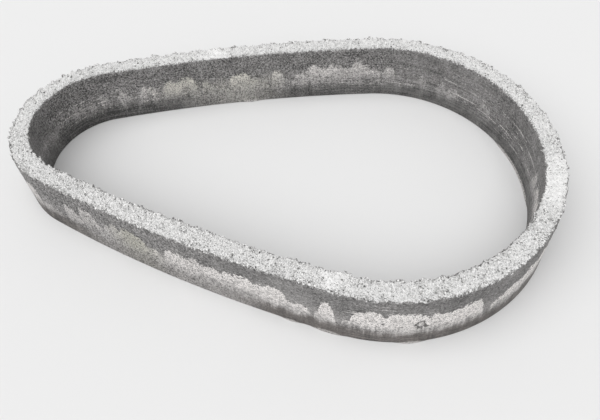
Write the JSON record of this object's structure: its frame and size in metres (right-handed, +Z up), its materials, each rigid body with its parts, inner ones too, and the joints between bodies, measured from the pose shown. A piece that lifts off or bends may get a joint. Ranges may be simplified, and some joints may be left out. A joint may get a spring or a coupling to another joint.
{
  "type": "egg-shaped concrete culvert ring",
  "caption": "Egg-shaped precast concrete ring with a plain wall and flat rims, laid flat; rings set rim to rim line an underground water gallery or culvert.",
  "frame": {"origin": "middle of the base rim's bounding box, on the ground", "axes": "+Z up through the bore, +X towards the wide end, the ring symmetric about the XZ plane"},
  "size_m": [1.3998, 0.85, 0.18],
  "materials": {
    "concrete": "bare dry-cast concrete: pale grainy rims, darker formed walls with whitish lime patches"
  },
  "bodies": {
    "root": {"culvert_ring": "concrete"}
  },
  "joints": []
}
